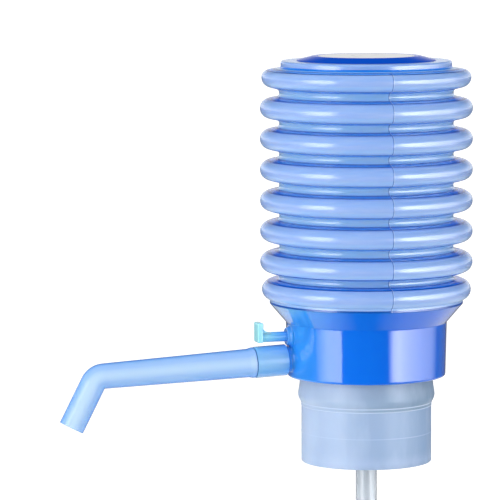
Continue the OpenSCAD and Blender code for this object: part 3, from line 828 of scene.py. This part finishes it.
outline = [(lip_r, collar_top), (collar_top_r, collar_top)] + [bulge(i / 16) for i in range(17)]
outline += below_bulge + raised_ring(-14.7, 0.25) + raised_ring(-26.7, 0.1, 0.4)
outline += [(collar_r, collar_low + foot_round), (collar_r - foot_round, collar_low),
            (collar_bore_r + foot_flare[0], collar_low),
            (collar_bore_r, collar_low + foot_flare[1])]
for grip_z in grip_heights:
    outline += grip(grip_z)
outline += [(collar_bore_r, groove_low - groove_slope), (groove_wall_r, groove_low),
            (groove_wall_r, groove_high), (lip_r, groove_high)]
collar = lathe("neck_sleeve", outline, 160)
soften(collar, 0.12)
smooth(collar)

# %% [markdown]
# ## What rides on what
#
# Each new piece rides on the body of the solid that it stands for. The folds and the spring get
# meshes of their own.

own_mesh(folds)
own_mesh(coil)

riding = {
    "head": [folds, cuff, shell, bell, spout_socket, nipple, guide, coil],
    "crown": [neck_ring, cap],
    "release": [button],
    "spout": [spout],
    "collar": [collar],
}
for body, pieces in riding.items():
    for piece in pieces:
        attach(piece, body)
for piece in (folds, cuff, neck_ring):
    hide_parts("bellows")
for piece in (shell, bell, spout_socket, nipple, guide):
    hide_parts("pump_body")
for piece, node, slot in ((cap, "press_cap", "cap_blue"), (button, "release_button", "cyan_button"),
                          (coil, "release_spring", "steel"), (spout, "spout", "pale_spout"),
                          (collar, "neck_collar", "frosted_collar")):
    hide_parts(node)
print("pieces:", sum(len(pieces) for pieces in riding.values()))

# %% [markdown]
# ## Finishes
#
# The mouldings share three effects. A moulded skin's gloss drifts, and it has a very fine grain.
# Milky plastic drifts in tint where its wall is thicker. And plastic that was blown or pushed along
# a wall leaves faint streaks. Each effect is a node group, built once, that every material can use
# with its own amounts.


# %% Helpers for nodes
def add(nodes, kind, **settings):
    """Adds a shader node and sets its properties and its sockets by name."""
    node = nodes.new("ShaderNode" + kind)
    for name, value in settings.items():
        if name in node.inputs:
            node.inputs[name].default_value = value
        else:
            setattr(node, name, value)
    return node


def set_inputs(node, values):
    """Sets the sockets of a node from their names and values."""
    for name, value in values.items():
        node.inputs[name].default_value = value


def math_node(tree, operation, *values, clamp=False):
    """Joins values, each a socket or a number, with one operation."""
    node = add(tree.nodes, "Math", operation=operation, use_clamp=clamp)
    for end_socket, value in zip(node.inputs, values):
        if isinstance(value, (int, float)):
            end_socket.default_value = value
        else:
            tree.links.new(value, end_socket)
    return node.outputs[0]


def map_range(tree, value, first, last, low=0, high=1):
    """Maps a value between first and last to one between low and high."""
    node = add(tree.nodes, "MapRange")
    set_inputs(node, {"From Min": first, "From Max": last, "To Min": low, "To Max": high})
    tree.links.new(value, node.inputs["Value"])
    return node.outputs["Result"]


def mix_colours(tree, share, first, second):
    """Mixes two colours, each a socket or a plain colour."""
    node = add(tree.nodes, "Mix", data_type="RGBA")
    tree.links.new(share, node.inputs["Factor"])
    for end_socket, value in zip(node.inputs[6:8], (first, second)):
        if isinstance(value, tuple):
            end_socket.default_value = (*value, 1)
        else:
            tree.links.new(value, end_socket)
    return node.outputs[2]


def in_piece(tree):
    """Place of the surface in its piece, which stays with the piece as it moves."""
    return add(tree.nodes, "TexCoord").outputs["Object"]


def component(tree, vector, axis):
    """The X, Y or Z part of a vector."""
    node = add(tree.nodes, "SeparateXYZ")
    tree.links.new(vector, node.inputs[0])
    return node.outputs[axis]


def noise(tree, place, **settings):
    """A noise over a place."""
    node = add(tree.nodes, "TexNoise", **settings)
    tree.links.new(place, node.inputs["Vector"])
    return node.outputs["Fac"]


# %% Helpers for groups
white = (1, 1, 1, 1)


def new_group(name, inputs, outputs):
    """Makes a node group; inputs are (label, kind, first value), and outputs (label, kind)."""
    group = bpy.data.node_groups.new(name, "ShaderNodeTree")
    for label, kind, value in inputs:
        made = group.interface.new_socket(label, in_out="INPUT", socket_type="NodeSocket" + kind)
        made.default_value = value
    for label, kind in outputs:
        group.interface.new_socket(label, in_out="OUTPUT", socket_type="NodeSocket" + kind)
    start = group.nodes.new("NodeGroupInput")
    end = group.nodes.new("NodeGroupOutput")
    return group, start.outputs, end.inputs


# %% The moulded skin: drifting gloss and a fine grain
skin, given, result = new_group(
    "moulded_skin",
    [("Roughness", "Float", 0.25), ("Drift", "Float", 0.08), ("Grain", "Float", 0.05)],
    [("Roughness", "Float"), ("Normal", "Vector")])
cloud = noise(skin, in_piece(skin), Scale=60, Detail=3)
centred = math_node(skin, "SUBTRACT", cloud, 0.5)
skin.links.new(math_node(skin, "MULTIPLY_ADD", centred, given["Drift"], given["Roughness"]),
               result["Roughness"])
bump = add(skin.nodes, "Bump", Distance=0.0002)
skin.links.new(given["Grain"], bump.inputs["Strength"])
skin.links.new(noise(skin, in_piece(skin), Scale=900, Detail=2), bump.inputs["Height"])
skin.links.new(bump.outputs["Normal"], result["Normal"])
print("group:", skin.name)

# %% The milky tint: a slow drift between a colour and its paler shade
milk, given, result = new_group(
    "milky_tint", [("Colour", "Color", white), ("Paler", "Color", white), ("Amount", "Float", 0.3)],
    [("Colour", "Color")])
cloud = noise(milk, in_piece(milk), Scale=28, Detail=2, Roughness=0.4)
share = math_node(milk, "MULTIPLY", cloud, given["Amount"])
milk.links.new(mix_colours(milk, share, given["Colour"], given["Paler"]), result["Colour"])
print("group:", milk.name)

# %% The flow streaks: a noise stretched along the wall
streaks, given, result = new_group(
    "flow_streaks", [("Colour", "Color", white), ("Streak", "Color", white),
                     ("Stretch", "Vector", (1, 1, 8)), ("Amount", "Float", 0.5)],
    [("Colour", "Color")])
stretched = add(streaks.nodes, "VectorMath", operation="MULTIPLY")
streaks.links.new(in_piece(streaks), stretched.inputs[0])
streaks.links.new(given["Stretch"], stretched.inputs[1])
flow = noise(streaks, stretched.outputs[0], Scale=70, Detail=4, Roughness=0.6)
share = math_node(streaks, "MULTIPLY", map_range(streaks, flow, 0.42, 0.72), given["Amount"])
streaks.links.new(mix_colours(streaks, share, given["Colour"], given["Streak"]), result["Colour"])
print("group:", streaks.name)

# %% [markdown]
# Each moulding is a Principled BSDF with some light passing below its skin. The helper below makes
# one, and its tint and base colour can then be given colours of the material's own.


# %% A moulded plastic
def plastic(name, paler, colour=None, roughness=0.25, milky=0.3, depth=0, coat=0.4, grain=0.04,
            specular=0.5):
    """Makes a moulded plastic; depth is how far light goes below the skin, in millimetres.

    The colour is left out where a ramp gives it.
    """
    material = bpy.data.materials.new(name)
    material.use_nodes = True
    tree = material.node_tree
    shader = tree.nodes["Principled BSDF"]
    set_inputs(shader, {
        "Coat Weight": coat, "Coat Roughness": 0.06, "Specular IOR Level": specular,
        "Subsurface Weight": 0.45 if depth else 0, "Subsurface Scale": depth * MM,
        "Subsurface Radius": (0.5, 0.8, 1.0)})
    surface = add(tree.nodes, "Group", node_tree=skin)
    set_inputs(surface, {"Roughness": roughness, "Drift": 0.08, "Grain": grain})
    tree.links.new(surface.outputs["Roughness"], shader.inputs["Roughness"])
    tree.links.new(surface.outputs["Normal"], shader.inputs["Normal"])
    tint = add(tree.nodes, "Group", node_tree=milk)
    tint.name = "tint"
    set_inputs(tint, {"Paler": (*paler, 1), "Amount": milky})
    if colour:
        tint.inputs["Colour"].default_value = (*colour, 1)
    tree.links.new(tint.outputs["Colour"], shader.inputs["Base Color"])
    return material


def tint_of(material):
    """A plastic's tree, and the sockets of its milky tint."""
    tree = material.node_tree
    return tree, tree.nodes["tint"].inputs


def streak(material, colour, stretch, amount):
    """Lays flow streaks of a colour over a plastic's own colour."""
    tree = material.node_tree
    base = tree.nodes["Principled BSDF"].inputs["Base Color"]
    source = base.links[0].from_socket
    flow = add(tree.nodes, "Group", node_tree=streaks)
    set_inputs(flow, {"Streak": (*colour, 1), "Stretch": stretch, "Amount": amount})
    tree.links.new(source, flow.inputs["Colour"])
    tree.links.new(flow.outputs["Colour"], base)
    return flow


def ramp(tree, value, stops, end_socket):
    """Colours a socket from a value, with stops of (place, colour)."""
    node = tree.nodes.new("ShaderNodeValToRGB")
    points = node.color_ramp.elements
    while len(points) < len(stops):
        points.new(1)
    for point, (position, colour) in zip(points, stops):
        point.position = position
        point.color = (*colour, 1)
    tree.links.new(value, node.inputs["Fac"])
    tree.links.new(node.outputs["Color"], end_socket)
    return node


def along(tree, axis, first, last):
    """Place of the surface along X, Y or Z, from 0 at first to 1 at last, in millimetres."""
    return map_range(tree, component(tree, in_piece(tree), axis), first * MM, last * MM)


def turned_away(tree):
    """How far the surface turns away from the view, from 0 where it is seen face on."""
    return add(tree.nodes, "LayerWeight", Blend=0.5).outputs["Facing"]


# %% [markdown]
# ### The bellows' plastic
#
# A ramp over the stored place between two folds gives the milky folds with a painted highlight on
# their lower half, the deep flanks with painted shade under each fold, the thin dark lines of
# painted shade beside them and the painted highlight in the grooves, and stays with the surface in
# every stroke.

# %% Bellows
# Colours of the folds. Among them are a painted highlight on the lower half of each fold and in
# each groove, painted shade on the flank under each fold, and thin dark lines of painted shade.
crest_up = (0.28, 0.48, 0.93)
crest_mid = (0.31, 0.48, 0.91)
crest_lower_highlight = (0.33, 0.55, 0.96)
flank_up = (0.005, 0.24, 0.90)
painted_shade_line = (0.0, 0.10, 0.48)
groove_highlight = (0.33, 0.64, 1.0)
shaded_flank_down = (0.005, 0.21, 0.84)
seam_blue = (0.01, 0.12, 0.48)
seam_highlight = (0.72, 0.84, 0.99)

soft_blue = plastic("soft_milky_blue", (0.45, 0.62, 0.98), roughness=0.22, depth=0.25, coat=0.3,
                    specular=1)
tree, tint = tint_of(soft_blue)
phase = add(tree.nodes, "Attribute", attribute_name="fold_phase").outputs["Fac"]
# The ramp lays the painted highlights, the painted shade on the flanks and the painted shade lines
# by the place between two folds.
by_phase = ramp(tree, math_node(tree, "FRACT", phase), [
    (0, crest_mid), (0.10, crest_up), (0.29, crest_up), (0.302, painted_shade_line), (0.318, painted_shade_line),
    (0.328, flank_up), (0.352, flank_up), (0.362, painted_shade_line), (0.376, painted_shade_line),
    (0.40, groove_highlight), (0.60, groove_highlight), (0.63, shaded_flank_down), (0.668, shaded_flank_down),
    (0.68, painted_shade_line), (0.697, painted_shade_line), (0.712, crest_lower_highlight), (0.84, crest_lower_highlight),
    (0.90, crest_mid)], tint["Colour"])
print(soft_blue.name, "with", len(by_phase.color_ramp.elements), "stops")

# %% [markdown]
# The parting line is laid over those colours, dark in its middle and with a painted highlight on
# one side. The streaks and the milky tint are strongest on the pale folds, where the ramp's red is
# high.

# %% The parting line's colours and the streaks
seam = add(tree.nodes, "Attribute", attribute_name="parting_line").outputs["Fac"]
colour = tree.nodes["tint"].outputs["Colour"]
# The line's middle is painted dark, and its one side gets a painted highlight.
for factor, line_colour in ((0.85, seam_blue), (-0.75, seam_highlight)):
    share = math_node(tree, "MULTIPLY", seam, factor, clamp=True)
    colour = mix_colours(tree, share, colour, line_colour)
tree.links.new(colour, tree.nodes["Principled BSDF"].inputs["Base Color"])
flow = streak(soft_blue, (0.58, 0.70, 0.98), (1, 1, 9), 0.25)
parts = add(tree.nodes, "SeparateColor")
tree.links.new(by_phase.outputs["Color"], parts.inputs[0])
for amount, factor in ((flow.inputs["Amount"], 0.8), (tint["Amount"], 0.5)):
    tree.links.new(math_node(tree, "MULTIPLY", parts.outputs["Red"], factor), amount)
print(soft_blue.name, "with", len(tree.nodes), "nodes")

# %% [markdown]
# ### The hard mouldings
#
# The base is deep blue and very glossy, and pales towards the spout. Its socket is painted paler
# where it is seen face on, as painted light that stands for light through its thin sleeve. The
# spout is paler still, and its colour is painted paler face on and deeper towards its outline, as
# painted light through its thin tube.

# %% The base and the cap
base_blue = plastic("glossy_base_blue", (0.46, 0.72, 0.98), roughness=0.1, depth=3, coat=1)
tree, tint = tint_of(base_blue)
ramp(tree, along(tree, "X", -54, 0),
     [(0, (0.20, 0.50, 0.98)), (0.26, (0.15, 0.44, 0.98)), (0.33, (0.03, 0.32, 0.98)),
      (0.62, (0.004, 0.185, 0.88)), (1, (0.002, 0.16, 0.82))], tint["Colour"])
# Painted light on the socket: it is painted paler where it is seen face on, for light through its
# thin sleeve.
painted_light_face_on = map_range(tree, turned_away(tree), 0, 0.3, 1.3, 0)
tree.links.new(math_node(tree, "MULTIPLY", along(tree, "X", -36, -42), painted_light_face_on), tint["Amount"])
cap_blue = plastic("glossy_cap_blue", (0.001, 0.10, 0.64), (0, 0.07, 0.56), 0.15, coat=0,
                   specular=0.03)
print("plastics:", base_blue.name, cap_blue.name)

# %% The spout and the button
spout_blue = plastic("pale_spout_blue", (0.55, 0.74, 0.99), roughness=0.16, milky=0.2, depth=0.8,
                     coat=0.2, specular=0.4)
tree, tint = tint_of(spout_blue)
# Painted light through the thin tube: the spout is painted paler where it is seen face on and
# deeper towards its outline.
ramp(tree, turned_away(tree),
     [(0, (0.55, 0.74, 0.98)), (0.05, (0.47, 0.68, 0.98)), (0.134, (0.36, 0.58, 0.98)),
      (0.4, (0.26, 0.51, 0.98)), (0.58, (0.12, 0.38, 0.94)), (0.8, (0.02, 0.20, 0.70))],
     tint["Colour"])
streak(spout_blue, (0.66, 0.82, 0.99), (0.15, 1, 1), 0.3)
button_cyan = plastic("pale_button_cyan", (0.5, 0.9, 0.98), roughness=0.18, milky=0.2, depth=2)
tree, tint = tint_of(button_cyan)
ramp(tree, along(tree, "X", button_x, button_x + 14),
     [(0, (0.40, 0.86, 0.97)), (0.3, (0.30, 0.78, 0.98)), (1, (0.05, 0.35, 0.98))], tint["Colour"])
print("plastics:", spout_blue.name, button_cyan.name)

# %% [markdown]
# The collar is frosted. It is painted darker under the base as painted shade, paler towards the
# left as painted light, and its fine rings get painted highlights.

# %% The collar
# The upper colour is painted shade under the base, and the line colour a painted highlight on the
# fine rings.
shaded_upper, lower, ring_highlight = (0.22, 0.34, 0.50), (0.27, 0.405, 0.63), (0.62, 0.74, 0.92)
frosted = plastic("frosted_collar", (0.55, 0.68, 0.90), roughness=0.38, depth=1, coat=0.1,
                  specular=0.3)
tree, tint = tint_of(frosted)
# Along the height: a little darker at the foot, painted highlights on the fine rings, and painted
# shade above them under the base.
ramp(tree, along(tree, "Z", -40, 0),
     [(0, (0.28, 0.40, 0.62)), (0.05, (0.34, 0.47, 0.70)), (0.15, lower), (0.324, lower),
      (0.331, (0.44, 0.57, 0.80)), (0.339, lower), (0.626, lower), (0.630, ring_highlight), (0.636, ring_highlight),
      (0.640, shaded_upper), (0.663, shaded_upper), (0.668, ring_highlight), (0.674, ring_highlight), (0.679, shaded_upper), (1, shaded_upper)],
     tint["Colour"])
# The tint's pale share grows towards -X, as painted light from the left.
tree.links.new(math_node(tree, "MULTIPLY", along(tree, "X", 22, -30), 1.4), tint["Amount"])
streak(frosted, (0.60, 0.73, 0.93), (1, 1, 0.35), 0.35)
print("plastic:", frosted.name)

# %% The pale pieces
disc_white = plastic("satin_white", (0.97, 0.97, 0.98), (0.90, 0.91, 0.93), 0.35, 0.4, coat=0.1)
pale_rubber = plastic("pale_rubber", (0.85, 0.86, 0.88), (0.72, 0.74, 0.78), 0.55, 0.4, coat=0,
                      grain=0.2)
natural = plastic("natural_frosted", (0.80, 0.86, 0.92), (0.62, 0.70, 0.80), 0.35, 0.5, depth=1.5)

# %% [markdown]
# ### The clear tube and the steel
#
# The suction tube is clear, so light passes through it. The screws, the clip and the spring are
# drawn or turned steel, with a fine grain.

# %% The tube and the steel
clear = plastic("clear_tube", (0.9, 0.94, 0.97), (0.80, 0.86, 0.92), 0.12, 0.4)
set_inputs(clear.node_tree.nodes["Principled BSDF"], {"Transmission Weight": 0.55, "IOR": 1.4})
steel = plastic("bright_steel", (0.72, 0.73, 0.75), (0.62, 0.63, 0.65), 0.25, 0.5, coat=0,
                grain=0.1)
steel.node_tree.nodes["Principled BSDF"].inputs["Metallic"].default_value = 1


def dress(piece, material):
    """Gives a piece its material."""
    if not piece.material_slots:
        piece.data.materials.append(None)
    for slot in piece.material_slots:
        slot.material = material


dressing = [(soft_blue, (folds, neck_ring, cuff)),
            (base_blue, (shell, bell, spout_socket, nipple, guide)),
            (cap_blue, (cap,)), (spout_blue, (spout,)), (button_cyan, (button,)),
            (frosted, (collar,)), (steel, (coil,))]
for material, pieces in dressing:
    for piece in pieces:
        dress(piece, material)
cad_dressing = [
    (disc_white, "cap_disc"),
    (pale_rubber, "neck_gasket outlet_valve intake_valve tube_seal release_seal spout_oring"),
    (natural, "bellows_ring tube_coupler_upper tube_coupler_lower tube_foot"),
    (clear, "suction_tube_upper suction_tube_middle suction_tube_lower"),
    (steel, "ring_screws release_clip")]
for material, names in cad_dressing:
    for name in names.split():
        dress(bpy.data.objects[name], material)
print("materials on the solids' own pieces:", len(cad_dressing))

# %% [markdown]
# ## Light
#
# The pump stands in a white studio. A tall soft box on the left and a wide one on the right give
# the long highlights on the round mouldings. Only mirror-like rays meet these two, and dimmer
# fills light the surfaces themselves. The camera sees a white world. Mirror-like rays see it white
# only behind the pump, and nearly dark in front and above, so that the gloss keeps its contrast.

# %% The soft boxes
box_distance = 1.3


def soft_box(name, turn, rise, width, height, radiance, seen, across=()):
    """A rectangular light around the pump; turn is counted from the camera, in degrees.

    seen is "mirrors" or "matt", for the rays that the light acts on. across lists the share of
    light at places from the box's own left edge, 0, to its right edge, 1.
    """
    start_clean()
    towards_box = direction(camera_turn + turn, rise)
    bpy.ops.object.light_add(type="AREA", location=aim + towards_box * box_distance)
    box = bpy.context.object
    box.name = name
    box.data.shape = "RECTANGLE"
    box.data.size = width
    box.data.size_y = height
    box.data.energy = radiance * math.pi * width * height
    box.visible_diffuse = seen == "matt"
    box.visible_glossy = seen == "mirrors"
    box.rotation_euler = (-towards_box).to_track_quat("-Z", "Y").to_euler()
    if across:
        box.data.use_nodes = True
        tree = box.data.node_tree
        place_on_box = add(tree.nodes, "NewGeometry").outputs["Parametric"]
        ramp(tree, component(tree, place_on_box, "X"), [(at, (share,) * 3) for at, share in across],
             tree.nodes["Emission"].inputs["Strength"])
    print(name, "gives", round(box.data.energy, 1), "W")


soft_box("left_box", -56, 0, 1.0, 1.1, 3.8, "mirrors", [(0, 0.1), (0.5, 0.9), (1, 1)])
soft_box("left_fill", -53, 0, 0.89, 1.1, 2.4, "matt")
soft_box("right_box", 77, 0, 2.69, 1.1, 6.6, "mirrors",
         [(0, 0.06), (0.04, 0.2), (0.13, 0.85), (0.22, 1), (0.4, 0.68), (0.6, 0.4), (0.8, 0.2),
          (0.92, 0.05), (1, 0)])
soft_box("right_fill", 52, 0, 1.0, 1.1, 0.9, "matt")
soft_box("top_box", 0, 80, 1.2, 1.2, 0.6, "matt")

# %% The world
world_light = 0.8
front_dark = 0.03

world = bpy.data.worlds.new("studio")
world.use_nodes = True
bpy.context.scene.world = world
tree = world.node_tree
background = tree.nodes["Background"]
background.inputs["Color"].default_value = (1, 1, 1, 1)


def seen_light(tree, plain, mirrored):
    """Full light for camera and transmission rays, mirrored for glossy rays, and else plain."""
    path = add(tree.nodes, "LightPath")
    clear_rays = math_node(tree, "MAXIMUM", path.outputs["Is Camera Ray"],
                           path.outputs["Is Transmission Ray"])
    glossy = math_node(tree, "MULTIPLY", path.outputs["Is Glossy Ray"], mirrored)
    matt = math_node(tree, "MULTIPLY",
                     math_node(tree, "SUBTRACT", 1, path.outputs["Is Glossy Ray"]), plain)
    return math_node(tree, "MAXIMUM", math_node(tree, "MAXIMUM", clear_rays, glossy), matt)


def to_front(tree, vector):
    """How far a vector points towards the camera's side."""
    node = add(tree.nodes, "VectorMath", operation="DOT_PRODUCT")
    tree.links.new(vector, node.inputs[0])
    node.inputs[1].default_value = towards
    return node.outputs["Value"]


ray = add(tree.nodes, "TexCoord").outputs["Generated"]
lit_side = math_node(tree, "MINIMUM", map_range(tree, to_front(tree, ray), 0.3, 0.9, 1, front_dark),
                     map_range(tree, component(tree, ray, "Z"), 0.05, 0.35, 1, front_dark))
tree.links.new(seen_light(tree, world_light, lit_side), background.inputs["Strength"])
print("world light", world_light)

# %% [markdown]
# ## The floor
#
# The floor is a pale sheet just below the foot of the tube, wide enough to fill the view. For the
# camera it glows white. It glows less near the pump, where the lamps light it too, so that the
# pump's shadow stays visible on it.

# %% The floor
floor_half = 30
floor_drop = 0.7
floor_colour = 0.85
floor_glow = 0.96
near_glow = 0.74

start_clean()
bpy.ops.mesh.primitive_plane_add(size=2 * floor_half,
                                 location=(0, 0, (foot_z - floor_drop) * MM))
studio_floor = new_piece("studio_floor")
floor_white = bpy.data.materials.new("floor_white")
floor_white.use_nodes = True
tree = floor_white.node_tree
shader = tree.nodes["Principled BSDF"]
path = add(tree.nodes, "LightPath").outputs
less = math_node(tree, "ADD", math_node(tree, "MULTIPLY", path["Is Glossy Ray"], 0.83),
                 math_node(tree, "MULTIPLY", path["Is Camera Ray"], 0.6))
tree.links.new(math_node(tree, "SUBTRACT", floor_colour, less), shader.inputs["Base Color"])
spot = in_piece(tree)
length = add(tree.nodes, "VectorMath", operation="LENGTH")
tree.links.new(spot, length.inputs[0])
away = length.outputs["Value"]
turned = math_node(tree, "DIVIDE", to_front(tree, spot), away)
mirrored = math_node(tree, "MULTIPLY", map_range(tree, turned, -0.2, 0.75, 1, 0),
                     map_range(tree, away, 0.6, 1.5, 1, 0.1))
glow = math_node(tree, "MULTIPLY", seen_light(tree, 0, mirrored),
                 map_range(tree, away, 0.4, 1.5, near_glow, floor_glow))
tree.links.new(glow, shader.inputs["Emission Strength"])
dress(studio_floor, floor_white)
bpy.context.scene.view_settings.view_transform = "Standard"
